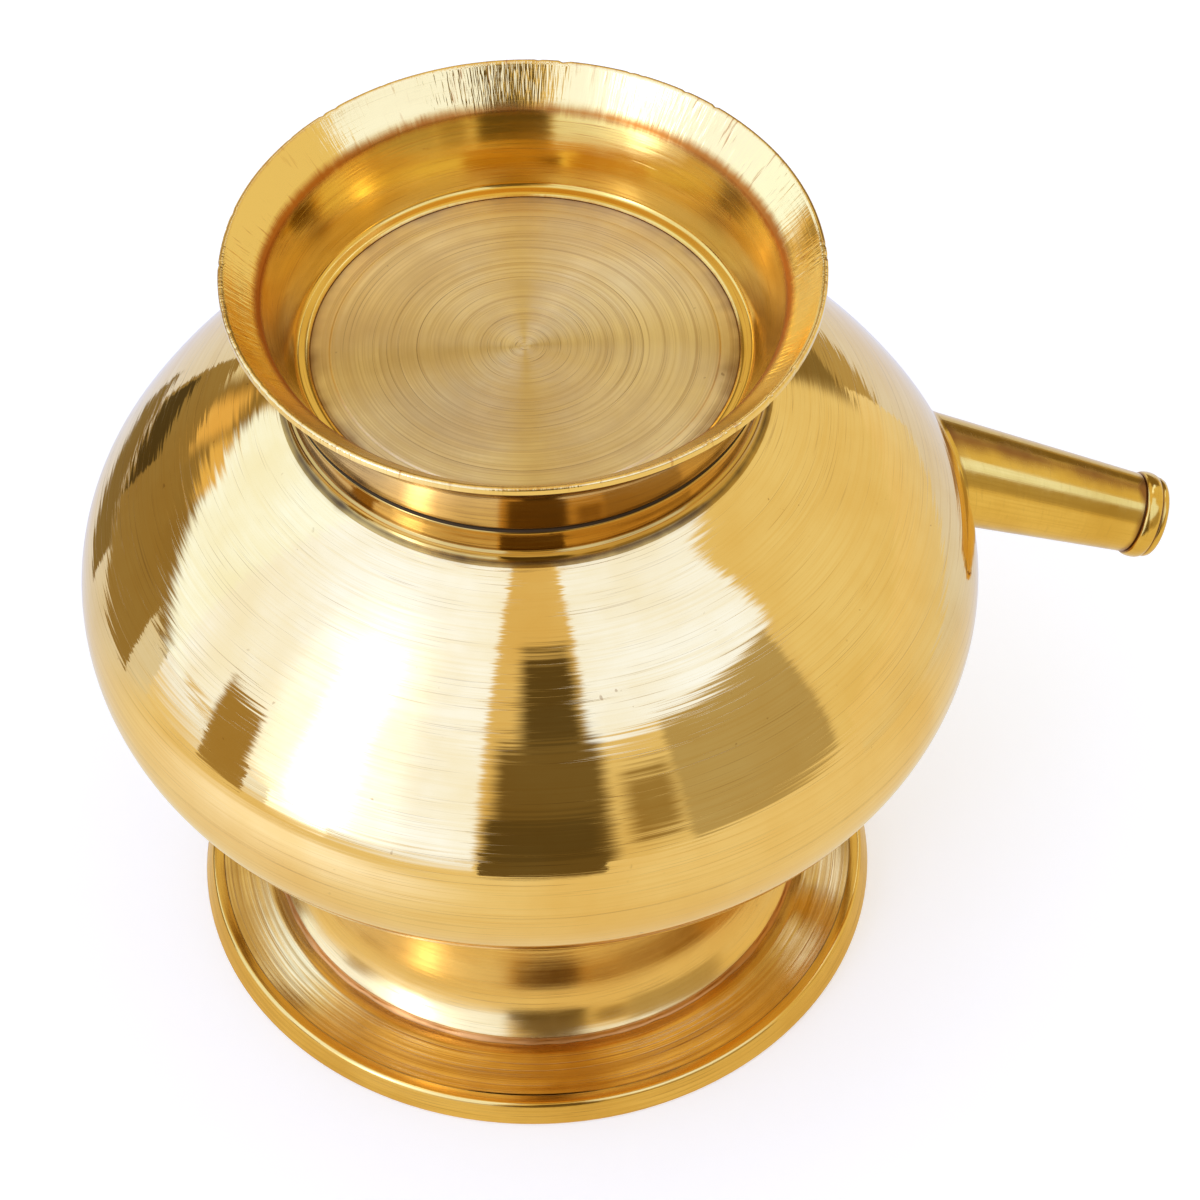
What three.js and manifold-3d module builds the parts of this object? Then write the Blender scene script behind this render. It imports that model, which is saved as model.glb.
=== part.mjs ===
// A brass neti pot on a pedestal foot, with a dish-shaped lid that lifts off and a tapered spout.
// Millimetres, +Z up. The pot stands on the plane Z = 0 and its spout points towards +X.
import * as THREE from 'three';
import { mergeVertices } from 'three/addons/utils/BufferGeometryUtils.js';
import Module from 'manifold-3d';

// Joints
const brazeGap = 0.1; // between round pieces that share the pot's axis
const turnedGap = 0.3; // around the slanted spout
const seatGap = 0.1; // under the resting lid

// Foot
const footRadius = 47.5;
const footSlope = 1.3; // how far the band leans in over its height
const bandHeight = 3.2;
const bandWidth = 2.9; // of the face that stands on the table
const bandRound = 0.4;
const flangeSheet = 1.6;
const flangeRise = 1.5; // from the flange's edge to its level land
const flangeLand = 38.6; // outer radius of the level land that carries the pedestal
const flangeHole = 32;

// Pedestal
const stemRadius = 33.1;
const stemFlareWidth = 3.5; // how far the foot of the pedestal spreads
const stemFlareHeight = 8.25;
const stemFootHeight = 0.8;
const stemSheet = 1.4;
const filletWidth = 0.8; // of the braze ring in the corner around the pedestal's foot
const filletThroat = 0.28;

// Belly, two spun halves lapped at the widest line, with a plate let into the bottom
const bellyRadius = 60;
const bellyHeight = 62.4; // of the widest line
const beltCurve = 18.8; // radius of the wall across the widest line
const beltTop = 28.9; // degrees above level where the belt runs into the shoulder
const beltBottom = 31.3; // degrees below level where the belt runs into the base
const shoulderCurve = 67.3;
const baseCurve = 43.4;
const bellySheet = 1.5;
const lapHeight = 2.4;
const lapSheet = 0.7;
const plateRadius = 24; // of the plate that closes the bottom, inside the top of the pedestal

// Neck
const mouthRadius = 29.3;
const neckRadius = 32; // where the collar's flared foot meets the shoulder
const collarRadius = 30.9;
const collarHeight = 5.48;
const collarFlare = 1.3; // height of the hollow curve of its foot
const grooveDepth = 0.2;
const grooveWidth = 0.5;
const edgeBreak = 0.5; // bevel on both sides of the seam under the lid

// Lid
const floorRadius = 27.5;
const floorSheet = 1.2;
const floorStepRadius = 25;
const floorStep = 0.15;
const ledgeHeight = 1.4; // of the ring around the floor
const ledgeRound = 0.3;
const dishFootRadius = 29.3; // inside, where the wall starts
const wallBow = 0.3; // how far the wall bows in at half its height
const creaseRadius = 33.4;
const creaseHeight = 11.1;
const creaseLead = 0.4; // how much lower the bend to the lip starts on the outside
const rimRadius = 38.4;
const rimHeight = 15.7;
const dishSheet = 1.4;
const lipSheet = 1;
const spigotClearance = 0.5;
const spigotWidth = 3.2;
const spigotDepth = 6;

// Spout
const spoutSide = 17.2; // degrees round the belly from +X, towards the back
const spoutDrop = 7; // degrees below level on the belt, where the spout's axis leaves the wall
const spoutTurn = 16.85; // degrees turned back from straight outwards
const spoutFall = 20.5; // degrees below level
const spoutLength = 31.6; // from the wall to the open end, along the axis
const spoutRootRadius = 7.2;
const spoutTipRadius = 5.55;
const spoutSheet = 1.2;
const beadWidth = 2.8;
const beadRadius = 6;
const beadSheet = 0.55;
const endLength = 1.1; // of the rounded end beyond the bead
const saddleWidth = 1.6;
const saddleSheet = 0.9;

// Facets
const roundSteps = 48;
const spoutSteps = 24;

const wasm = await Module();
wasm.setup();

const point = (radius, height) => new THREE.Vector2(radius, height);
const radians = THREE.MathUtils.degToRad;
const degrees = THREE.MathUtils.radToDeg;

// Points of a round curve in the (radius, height) plane, from one angle to another in degrees
function arc(centre, radius, from, to, steps) {
  const clockwise = to < from;
  const curve = new THREE.EllipseCurve(
    centre.x, centre.y, radius, radius, radians(from), radians(to), clockwise);
  return curve.getPoints(steps);
}

function smooth(points, steps) {
  return new THREE.SplineCurve(points).getPoints(steps);
}

// A ring or a solid turned about the pot's axis; a profile off the axis is closed on itself
function turned(profile) {
  const onAxis = profile[0].x === 0;
  const closed = onAxis ? profile : [...profile, profile[0].clone()];
  return new THREE.LatheGeometry(closed, roundSteps).rotateX(Math.PI / 2);
}

function solidOf(geometry) {
  const bare = geometry.clone();
  bare.deleteAttribute('normal');
  bare.deleteAttribute('uv');
  const merged = mergeVertices(bare, 1e-4);
  const corners = merged.index.array;
  const kept = [];
  for (let i = 0; i < corners.length; i += 3) {
    const [a, b, c] = corners.slice(i, i + 3);
    if (a !== b && b !== c && c !== a) kept.push(a, b, c);
  }
  return new wasm.Manifold(new wasm.Mesh({
    numProp: 3,
    vertProperties: merged.attributes.position.array,
    triVerts: new Uint32Array(kept),
  }));
}

function geometryOf(solid) {
  const { vertProperties, triVerts } = solid.getMesh();
  const geometry = new THREE.BufferGeometry();
  geometry.setAttribute('position', new THREE.BufferAttribute(vertProperties, 3));
  geometry.setIndex(new THREE.BufferAttribute(triVerts, 1));
  geometry.computeVertexNormals();
  return geometry;
}

const pot = new THREE.Group();
const lid = new THREE.Group();

function add(group, name, geometry, color, roughness) {
  const material = new THREE.MeshStandardMaterial({ color, roughness, metalness: 1 });
  const mesh = new THREE.Mesh(geometry, material);
  mesh.name = name;
  group.add(mesh);
}

// Belly: the belt, shoulder and base are arcs that run into each other, and the same
// arcs with a smaller radius make the inside of the wall
const beltCentre = point(bellyRadius - beltCurve, bellyHeight);

function tangentCentre(curve, angle) {
  const step = beltCurve - curve;
  return point(
    beltCentre.x + step * Math.cos(radians(angle)),
    beltCentre.y + step * Math.sin(radians(angle)));
}

const shoulderCentre = tangentCentre(shoulderCurve, beltTop);
const baseCentre = tangentCentre(baseCurve, -beltBottom);

const belt = (grow, from, to) => arc(beltCentre, beltCurve + grow, from, to, 4);
const base = (grow) => arc(baseCentre, baseCurve + grow, -90, -beltBottom, 6).slice(0, -1);

function shoulderAngle(grow, radius) {
  return degrees(Math.acos((radius - shoulderCentre.x) / (shoulderCurve + grow)));
}

function shoulder(grow, from, to, steps) {
  return arc(shoulderCentre, shoulderCurve + grow, from, shoulderAngle(grow, to), steps);
}

function baseHeight(radius) {
  return baseCentre.y - Math.sqrt(baseCurve ** 2 - (radius - baseCentre.x) ** 2);
}

const lapAngle = degrees(lapHeight / beltCurve);
const seamAngle = degrees(brazeGap / beltCurve);
const tongue = lapSheet - bellySheet;

const lowerBowl = turned([
  point(0, baseCentre.y - baseCurve),
  ...base(0),
  ...belt(0, -beltBottom, 0),
  ...arc(beltCentre, beltCurve + tongue, 0, lapAngle, 2),
  ...belt(-bellySheet, lapAngle, -beltBottom),
  ...base(-bellySheet).reverse(),
  point(0, baseCentre.y - baseCurve + bellySheet),
]);

const upperBowl = turned([
  ...belt(0, seamAngle, beltTop),
  ...shoulder(0, beltTop, mouthRadius, 7).slice(1),
  ...shoulder(-bellySheet, beltTop, mouthRadius, 7).slice(1).reverse(),
  ...belt(-bellySheet, beltTop, lapAngle + seamAngle),
  ...arc(beltCentre, beltCurve + tongue + brazeGap, lapAngle + seamAngle, seamAngle, 2),
]);

// The bottom plate is let into the lower half, and the same round cutter shapes both
function plateCutter(radius) {
  return solidOf(turned([
    point(0, 0),
    point(radius, 0),
    point(radius, bellyHeight),
    point(0, bellyHeight),
  ]));
}

// The belly as a full solid, grown by a distance, to shape what sits on it
function bellySolid(grow) {
  return solidOf(turned([
    point(0, baseCentre.y - baseCurve - grow),
    ...base(grow),
    ...belt(grow, -beltBottom, beltTop),
    ...shoulder(grow, beltTop, mouthRadius, 7).slice(1),
    point(0, shoulderCentre.y + shoulderCurve + grow),
  ]));
}

// Spout: turned about its own axis, which starts on the wall at zero, then laid in place
const spoutRoot = new THREE.Vector3(beltCentre.x + beltCurve * Math.cos(radians(spoutDrop)), 0,
  beltCentre.y - beltCurve * Math.sin(radians(spoutDrop)));
spoutRoot.applyAxisAngle(new THREE.Vector3(0, 0, 1), radians(spoutSide));
const spoutHeading = radians(spoutSide - spoutTurn);
const spoutAxis = new THREE.Vector3(
  Math.cos(spoutHeading), Math.sin(spoutHeading), -Math.tan(radians(spoutFall)));
const spoutPlace = new THREE.Matrix4().compose(
  spoutRoot,
  new THREE.Quaternion().setFromUnitVectors(new THREE.Vector3(0, 1, 0), spoutAxis.normalize()),
  new THREE.Vector3(1, 1, 1));

function turnedSpout(profile) {
  const onAxis = profile[0].x === 0;
  const closed = onAxis ? profile : [...profile, profile[0].clone()];
  return new THREE.LatheGeometry(closed, spoutSteps).applyMatrix4(spoutPlace);
}

const spoutInside = -2 * spoutRootRadius; // far enough inside the wall to reach it all round
const beadStart = spoutLength - endLength - beadWidth;
const spoutTaper = (spoutRootRadius - spoutTipRadius) / beadStart;
const spoutRadius = (along) => spoutRootRadius - spoutTaper * along;
const boreRadius = (along) => spoutRadius(along) - spoutSheet;
const endRadius = beadRadius - beadSheet - turnedGap;
const endWall = endRadius - boreRadius(spoutLength);

// A taper about the spout's axis, wider than the tube by a distance, to cut with
function spoutSolid(grow) {
  return solidOf(turnedSpout([
    point(0, spoutInside),
    point(spoutRadius(spoutInside) + grow, spoutInside),
    point(spoutRadius(beadStart) + grow, beadStart),
    point(0, beadStart),
  ]));
}

const spoutTube = solidOf(turnedSpout([
  point(spoutRadius(spoutInside), spoutInside),
  point(spoutTipRadius, beadStart),
  point(endRadius, beadStart),
  point(endRadius, spoutLength - endWall / 2),
  point(endRadius - endWall / 6, spoutLength - endWall / 8),
  point(endRadius - endWall / 2, spoutLength),
  point(boreRadius(spoutLength), spoutLength - endWall / 3),
  point(boreRadius(spoutInside), spoutInside),
])).subtract(bellySolid(turnedGap));

const beadFrom = beadStart + turnedGap;
const beadCentre = point(beadRadius - beadSheet, beadFrom + beadWidth / 2);
const beadHalf = new THREE.EllipseCurve(
  beadCentre.x, beadCentre.y, beadSheet, beadWidth / 2, -Math.PI / 2, Math.PI / 2, false);
const spoutBead = turnedSpout(beadHalf.getPoints(6));

const spoutSaddle = bellySolid(turnedGap + saddleSheet)
  .intersect(spoutSolid(turnedGap + saddleWidth))
  .subtract(bellySolid(turnedGap))
  .subtract(spoutSolid(turnedGap));

const bore = spoutSolid(-spoutSheet);
const lowerHalf = solidOf(lowerBowl).subtract(bore);
const lowerWall = lowerHalf.subtract(plateCutter(plateRadius + brazeGap));
const bottomPlate = lowerHalf.intersect(plateCutter(plateRadius));
add(pot, 'lower_bowl', geometryOf(lowerWall), 0xd8b060, 0.16);
add(pot, 'bowl_bottom_plate', geometryOf(bottomPlate), 0xb98a45, 0.35);
add(pot, 'upper_bowl', geometryOf(solidOf(upperBowl).subtract(bore)), 0xe2c27c, 0.14);
add(pot, 'spout_tube', geometryOf(spoutTube), 0xc89632, 0.2);
add(pot, 'spout_bead', spoutBead, 0xb07a28, 0.25);
add(pot, 'spout_saddle', geometryOf(spoutSaddle), 0xb98634, 0.3);

// Foot: a band that stands on the table around a dished flange
const bandTopRadius = footRadius - footSlope;
const bandInside = footRadius - bandWidth;
add(pot, 'foot_edge_band', turned([
  point(bandInside, 0),
  point(footRadius - bandRound, 0),
  point(footRadius, bandRound),
  point(bandTopRadius, bandHeight - bandRound),
  point(bandTopRadius - bandRound, bandHeight),
  point(bandInside, bandHeight),
]), 0xc8942f, 0.22);

const flangeEdge = bandInside - brazeGap;
const landHeight = bandHeight + flangeRise;
add(pot, 'foot_flange', turned([
  point(flangeHole, landHeight - flangeSheet),
  point(flangeLand, landHeight - flangeSheet),
  point(flangeEdge, bandHeight - flangeSheet),
  point(flangeEdge, bandHeight),
  point(flangeLand, landHeight),
  point(flangeHole, landHeight),
]), 0xcf9b35, 0.3);

// Pedestal: an upright wall with a round flare, whose top edge follows the underside of the belly
const stemFoot = landHeight + brazeGap;
const stemFootRadius = stemRadius + stemFlareWidth;
const stemTop = (radius) => baseHeight(radius) - brazeGap;
const flareCurve = (stemFlareWidth ** 2 + stemFlareHeight ** 2) / (2 * stemFlareWidth);
const flareAngle = degrees(Math.asin(stemFlareHeight / flareCurve));
const flareCentre = point(stemRadius + flareCurve, stemFoot + stemFootHeight + stemFlareHeight);
const flare = arc(flareCentre, flareCurve, 180 + flareAngle, 180, 7);

function stemWall(inset) {
  const wall = flare.map(({ x, y }) => point(x - inset, y));
  return [...wall, point(stemRadius - inset, stemTop(stemRadius - inset))];
}

add(pot, 'pedestal_stem', turned([
  point(stemFootRadius, stemFoot),
  ...stemWall(0),
  ...stemWall(stemSheet).reverse(),
  point(stemFootRadius - stemSheet, stemFoot),
]), 0xd3a245, 0.18);

const brazeInside = stemFootRadius + brazeGap;
add(pot, 'foot_braze_ring', turned([
  point(brazeInside, stemFoot),
  point(brazeInside + filletWidth, stemFoot),
  point(brazeInside + filletThroat, stemFoot + filletThroat),
  point(brazeInside, stemFoot + stemFootHeight),
]), 0xb8742c, 0.4);

// Neck: a collar that follows the shoulder underneath, with a fine groove above its flared foot
const collarFoot = shoulder(brazeGap, shoulderAngle(brazeGap, neckRadius), mouthRadius, 2).reverse();
const flareTop = collarFoot[2].y + collarFlare;
const grooveTop = flareTop + grooveWidth;
const collarTop = collarFoot[2].y + collarHeight;
const collarCove = new THREE.EllipseCurve(
  neckRadius, flareTop, neckRadius - collarRadius, collarFlare, -Math.PI / 2, Math.PI, true);
add(pot, 'neck_collar', turned([
  ...collarFoot,
  ...collarCove.getPoints(3).slice(1),
  point(collarRadius - grooveDepth, (flareTop + grooveTop) / 2),
  point(collarRadius, grooveTop),
  point(collarRadius, collarTop - edgeBreak),
  point(collarRadius - edgeBreak, collarTop),
  point(mouthRadius, collarTop),
]), 0xb98a35, 0.22);

// Lid: a flared dish on the collar, a floor disc let into it and a spigot that carries both in the neck
const seat = collarTop + seatGap;
const ledgeInside = floorRadius + brazeGap;
const wallRadius = (dishFootRadius + creaseRadius) / 2;
const wallMiddle = seat + (ledgeHeight + creaseHeight) / 2;
const dishInside = smooth([
  point(dishFootRadius, seat + ledgeHeight + ledgeRound),
  point(wallRadius - wallBow, wallMiddle),
  point(creaseRadius, seat + creaseHeight),
], 4);
const dishOutside = smooth([
  point(collarRadius, seat + edgeBreak),
  point(wallRadius + dishSheet, wallMiddle),
  point(creaseRadius + dishSheet, seat + creaseHeight - creaseLead),
  point(rimRadius, seat + rimHeight - lipSheet),
], 9);
add(lid, 'lid_dish', turned([
  point(ledgeInside, seat),
  point(collarRadius - edgeBreak, seat),
  ...dishOutside,
  point(rimRadius, seat + rimHeight - lipSheet / 3),
  point(rimRadius - lipSheet / 2, seat + rimHeight),
  ...dishInside.reverse(),
  point(dishFootRadius - ledgeRound, seat + ledgeHeight),
  point(ledgeInside, seat + ledgeHeight),
]), 0xd2a03c, 0.22);

add(lid, 'lid_floor_disc', turned([
  point(0, seat),
  point(floorRadius, seat),
  point(floorRadius, seat + floorSheet - floorStep),
  point(floorStepRadius, seat + floorSheet - floorStep),
  point(floorStepRadius - floorStep, seat + floorSheet),
  point(0, seat + floorSheet),
]), 0xd5b060, 0.32);

const spigotRadius = mouthRadius - spigotClearance;
const spigotTop = seat - brazeGap;
add(lid, 'lid_spigot', turned([
  point(spigotRadius - spigotWidth, spigotTop - spigotDepth),
  point(spigotRadius - edgeBreak, spigotTop - spigotDepth),
  point(spigotRadius, spigotTop - spigotDepth + edgeBreak),
  point(spigotRadius, spigotTop),
  point(spigotRadius - spigotWidth, spigotTop),
]), 0xc49a45, 0.3);

// The origin is under the middle of the whole object, spout included
const netiPot = new THREE.Group();
netiPot.add(pot, lid);
const reach = new THREE.Box3().setFromObject(netiPot, true);
const middle = reach.getCenter(new THREE.Vector3());
pot.position.set(-middle.x, -middle.y, 0);
lid.position.set(-middle.x, -middle.y, 0);

export default netiPot;
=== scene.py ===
"""Looks of a brass neti pot: turned, polished and worn metal, in a plain white studio."""

import math

import bpy
from mathutils import Matrix, Vector, noise


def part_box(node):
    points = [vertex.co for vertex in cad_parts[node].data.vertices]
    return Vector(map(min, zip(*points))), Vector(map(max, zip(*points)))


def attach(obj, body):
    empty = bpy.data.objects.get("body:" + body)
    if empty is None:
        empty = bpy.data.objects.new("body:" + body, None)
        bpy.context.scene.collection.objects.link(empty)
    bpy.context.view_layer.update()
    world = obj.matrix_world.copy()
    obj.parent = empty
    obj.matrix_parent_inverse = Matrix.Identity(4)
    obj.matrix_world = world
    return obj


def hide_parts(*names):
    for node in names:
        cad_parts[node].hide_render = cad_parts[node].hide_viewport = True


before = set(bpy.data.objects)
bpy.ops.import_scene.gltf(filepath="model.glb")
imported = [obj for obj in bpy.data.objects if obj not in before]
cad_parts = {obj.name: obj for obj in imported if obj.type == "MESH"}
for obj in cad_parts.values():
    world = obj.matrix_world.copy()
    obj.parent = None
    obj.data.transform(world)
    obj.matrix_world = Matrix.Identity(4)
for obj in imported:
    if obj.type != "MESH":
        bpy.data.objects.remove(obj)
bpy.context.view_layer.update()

MM = 0.001
low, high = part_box("lower_bowl")
AXIS_X = (low.x + high.x) / 2  # the pot's axis, in metres

# Sizes of the solids, in millimetres: radii and heights, where nothing else is said
BELLY_RADIUS, BELLY_HEIGHT, BELLY_SHEET = 60, 62.4, 1.5
BELT, SHOULDER, BASE = 18.8, 67.3, 43.4  # the three curves of the belly
BELT_TOP, BELT_BOTTOM = math.radians(28.9), math.radians(31.3)
LAP, SEAM = 2.4 / BELT, 0.03 / BELT  # angles of the lap between the halves and of half their seam
UPPER_LAP, LOWER_LAP = 0.7, 0.8  # how far below the belly's outside the lap lies in each half
MOUTH, NECK, COLLAR = 29.3, 32.0, 30.9
COLLAR_HEIGHT, COLLAR_FLARE, COLLAR_GROOVE = 5.48, 1.3, 1.55  # above the collar's foot
BAND_IN, BAND_OUT, BAND_TOP = 44.6, 47.5, 3.2
FLANGE_RIM, FLANGE_FLAT, FLANGE_IN, FLANGE_TOP = 44.4, 38.6, 32, 4.7
BRAZE_IN, BRAZE_OUT, BRAZE_BOTTOM, BRAZE_TOP = 36.6, 37.2, 4.71, 5.4
STEM, SPREAD, RISE = 33.1, 3.5, 8.25  # the pedestal's wall, and the reach and height of its flare
STEM_BOTTOM, STEM_FLARE, STEM_SHEET = 4.8, 5.6, 1.4
LID_GAP = 0.1  # the lid's height above the collar, and the spigot's depth below the lid
DISH_HOLE, DISH_CREASE, DISH_TOP = 27.55, 11.1, 15.7  # heights above the lid's seat
DISC_EDGE, DISC_FACE, DISC_TOP = 27.4, 24.0, 1.2  # the same
SPIGOT_IN, SPIGOT_OUT, SPIGOT_DEPTH = 25.6, 28.8, 6
SPOUT_ROOT, SPOUT_TIP, SPOUT_SHEET, SPOUT_LENGTH = 7.2, 5.55, 1.2, 31.4
BEAD_START, BEAD_WIDTH, BEAD_RADIUS, BEAD_HEIGHT = 27.75, 2.35, 6.0, 0.55


# Outlines

def arc(centre, radius, start, end, steps):
    """Points of a round curve in the (radius, height) plane."""
    angles = [start + (end - start) * i / steps for i in range(steps + 1)]
    return [(centre[0] + radius * math.cos(a), centre[1] + radius * math.sin(a)) for a in angles]


def spline(points, steps):
    """A Catmull-Rom curve through the points."""
    ends = [points[0], *points, points[-1]]
    out = []
    for i in range(len(points) - 1):
        a, b, c, d = ends[i:i + 4]
        for k in range(steps):
            t = k / steps
            out.append(tuple(
                0.5 * (2 * b[j] + (c[j] - a[j]) * t + (2 * a[j] - 5 * b[j] + 4 * c[j] - d[j]) * t * t
                       + (3 * b[j] - a[j] - 3 * c[j] + d[j]) * t ** 3) for j in (0, 1)))
    return out + [points[-1]]


def soften(points, closed=True, steps=4):
    """Rounds each corner given as (radius, height, rounding); a point without a rounding stays. A rounding takes
    less than half of the sides beside it."""
    most = 0.45
    out = []
    count = len(points)
    for i, p in enumerate(points):
        if len(p) < 3 or (not closed and i in (0, count - 1)):
            out.append(p[:2])
            continue
        here = Vector(p[:2])
        before, after = Vector(points[i - 1][:2]) - here, Vector(points[(i + 1) % count][:2]) - here
        reach = min(p[2], before.length * most, after.length * most)
        a, b = here + before.normalized() * reach, here + after.normalized() * reach
        for k in range(steps + 1):
            t = k / steps
            q = a * (1 - t) ** 2 + here * 2 * t * (1 - t) + b * t * t
            out.append((q.x, q.y))
    return out


BELT_CENTRE = (BELLY_RADIUS - BELT, BELLY_HEIGHT)


def tangent_centre(radius, angle):
    """The centre of a curve that goes on from the belt at an angle without a corner."""
    step = BELT - radius
    return BELT_CENTRE[0] + step * math.cos(angle), BELT_CENTRE[1] + step * math.sin(angle)


SHOULDER_CENTRE = tangent_centre(SHOULDER, BELT_TOP)
BASE_CENTRE = tangent_centre(BASE, -BELT_BOTTOM)
BASE_BOTTOM = BASE_CENTRE[1] - BASE


def shoulder(grow, radius, steps):
    """The shoulder's outline, grown outwards, from the belt in to a radius."""
    end = math.acos((radius - SHOULDER_CENTRE[0]) / (SHOULDER + grow))
    return arc(SHOULDER_CENTRE, SHOULDER + grow, BELT_TOP, end, steps)


def shoulder_height(grow, radius):
    return SHOULDER_CENTRE[1] + math.sqrt((SHOULDER + grow) ** 2 - (radius - SHOULDER_CENTRE[0]) ** 2)


def base_height(radius):
    return BASE_CENTRE[1] - math.sqrt(BASE ** 2 - (radius - BASE_CENTRE[0]) ** 2)


def belly_distance(p):
    """How far a point in the pot's own frame lies outside the belly."""
    r, z = math.hypot(p[0], p[1]), p[2]
    angle = math.atan2(z - BELT_CENTRE[1], r - BELT_CENTRE[0])
    if angle > BELT_TOP:
        return math.hypot(r - SHOULDER_CENTRE[0], z - SHOULDER_CENTRE[1]) - SHOULDER
    if angle < -BELT_BOTTOM:
        return math.hypot(r - BASE_CENTRE[0], z - BASE_CENTRE[1]) - BASE
    return math.hypot(r - BELT_CENTRE[0], z - BELT_CENTRE[1]) - BELT


# Meshes

def make_piece(name, node, body, rows, closed, wear_and_shade, material_at, materials):
    """A mesh from rows of points, one row per step along the outline and one column per step round it.
    rows: list of (along, [(x, y, z), ...]) in millimetres in the pot's own frame; wear_and_shade takes a row's
    number and the angle round it and gives its dirt, with painted shade where there is some, and material_at takes a
    row's number and gives the number of its material in the list."""
    columns = len(rows[0][1])
    verts, faces, ring, dirt_and_shade, kinds = [], [], [], [], []
    starts = []
    for number, (along, points) in enumerate(rows):
        starts.append(len(verts))
        pole = all((Vector(p) - Vector(points[0])).length < 1e-6 for p in points)
        for k, p in enumerate(points[:1] if pole else points):
            angle = 2 * math.pi * k / columns
            verts.append(Vector(p) * MM)
            ring.append((math.cos(angle), math.sin(angle), along))
            dirt_and_shade.append(wear_and_shade(number, angle))
    count = len(rows)
    sizes = [(starts[i + 1] if i + 1 < count else len(verts)) - starts[i] for i in range(count)]
    for i in range(count if closed else count - 1):
        j = (i + 1) % count
        for k in range(columns):
            n = (k + 1) % columns
            a, b = starts[i] + (k if sizes[i] > 1 else 0), starts[i] + (n if sizes[i] > 1 else 0)
            c, d = starts[j] + (n if sizes[j] > 1 else 0), starts[j] + (k if sizes[j] > 1 else 0)
            corners = list(dict.fromkeys((a, b, c, d)))
            if len(corners) > 2:
                faces.append(corners)
                kinds.append(int(material_at(i)))
    mesh = bpy.data.meshes.new(name)
    mesh.from_pydata(verts, [], faces)
    mesh.polygons.foreach_set("use_smooth", [True] * len(faces))
    mesh.polygons.foreach_set("material_index", kinds)
    attribute = mesh.attributes.new("ring", "FLOAT_VECTOR", "POINT")
    attribute.data.foreach_set("vector", [x for p in ring for x in p])
    attribute = mesh.attributes.new("dirt_and_shade", "FLOAT", "POINT")
    attribute.data.foreach_set("value", dirt_and_shade)
    for material in materials:
        mesh.materials.append(material)
    mesh.validate()
    mesh.update()
    mark_sharp(mesh)
    obj = bpy.data.objects.new(name, mesh)
    bpy.context.scene.collection.objects.link(obj)
    obj.matrix_world = Matrix.Translation((AXIS_X, 0, 0))
    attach(obj, body)
    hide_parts(node)
    return obj


def mark_sharp(mesh, angle=math.radians(38)):
    """Edges between faces that turn by more than the angle keep a crease in the shading."""
    normals = {}
    for polygon in mesh.polygons:
        for key in polygon.edge_keys:
            normals.setdefault(key, []).append(polygon.normal.copy())
    for edge in mesh.edges:
        pair = normals.get(edge.key, [])
        if len(pair) == 2 and pair[0].angle(pair[1], 0) > angle:
            edge.use_edge_sharp = True


def lathe(name, node, body, outline, materials, wear_and_shade=lambda r, z, a: 0.0, material_at=lambda r, z: 0,
          columns=192, shape=None):
    """A piece turned about the pot's axis. wear_and_shade is its dirt, with painted shade where there is some, at a
    radius, height and angle, material_at gives the number of the material at a radius and height, and shape may move
    a point (radius, height, angle)."""
    on_axis = outline[0][0] == 0
    along, rows, last = 0.0, [], None
    for r, z in outline:
        along += 0 if last is None else math.hypot(r - last[0], z - last[1])
        last = (r, z)
        points = []
        for k in range(columns):
            angle = 2 * math.pi * k / columns
            rr, zz = shape(r, z, angle) if shape else (r, z)
            points.append((rr * math.cos(angle), rr * math.sin(angle), zz))
        rows.append((along, points))
    count = len(outline)
    mids = [((outline[i][0] + outline[(i + 1) % count][0]) / 2,
             (outline[i][1] + outline[(i + 1) % count][1]) / 2) for i in range(count)]
    return make_piece(name, node, body, rows, not on_axis, lambda i, a: wear_and_shade(*outline[i], a),
                      lambda i: material_at(*mids[i]), materials)


# Materials

class Shader:
    """A small helper that adds nodes to one node tree."""

    def __init__(self, tree):
        self.tree = tree

    def put(self, socket, value):
        if isinstance(value, bpy.types.NodeSocket):
            self.tree.links.new(value, socket)
        else:
            socket.default_value = value

    def node(self, kind, inputs=(), **settings):
        made = self.tree.nodes.new(kind)
        for key, value in settings.items():
            setattr(made, key, value)
        for key, value in dict(inputs).items():
            self.put(made.inputs[key], value)
        return made

    def math(self, operation, a, b=0.0, c=0.0, clamp=False):
        return self.node("ShaderNodeMath", {0: a, 1: b, 2: c}, operation=operation, use_clamp=clamp).outputs[0]

    def vector(self, x, y, z):
        return self.node("ShaderNodeCombineXYZ", {0: x, 1: y, 2: z}).outputs[0]

    def noise(self, vector, scale=1.0, detail=2.0, rough=0.5):
        made = self.node("ShaderNodeTexNoise", {"Vector": vector, "Scale": scale, "Detail": detail,
                                                "Roughness": rough})
        return made.outputs["Fac"]

    def range(self, value, a, b, c=0.0, d=1.0):
        """A soft step: c where the value is below a, d where it is above b."""
        return self.node("ShaderNodeMapRange", {0: value, 1: a, 2: b, 3: c, 4: d}, clamp=True,
                         interpolation_type="SMOOTHSTEP").outputs[0]

    def mix(self, factor, a, b):
        made = self.node("ShaderNodeMix", data_type="RGBA")
        self.put(made.inputs[0], factor)
        self.put(made.inputs[6], a if isinstance(a, bpy.types.NodeSocket) else (*a, 1))
        self.put(made.inputs[7], b if isinstance(b, bpy.types.NodeSocket) else (*b, 1))
        return made.outputs[2]


def new_material(name):
    material = bpy.data.materials.new(name)
    material.use_nodes = True
    return material, Shader(material.node_tree), material.node_tree.nodes["Principled BSDF"]


LIP_TONE, LIP_STROKES = (0.91, 0.64, 0.21), 105.0  # colour of the planished edge, depth of its strokes


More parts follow.
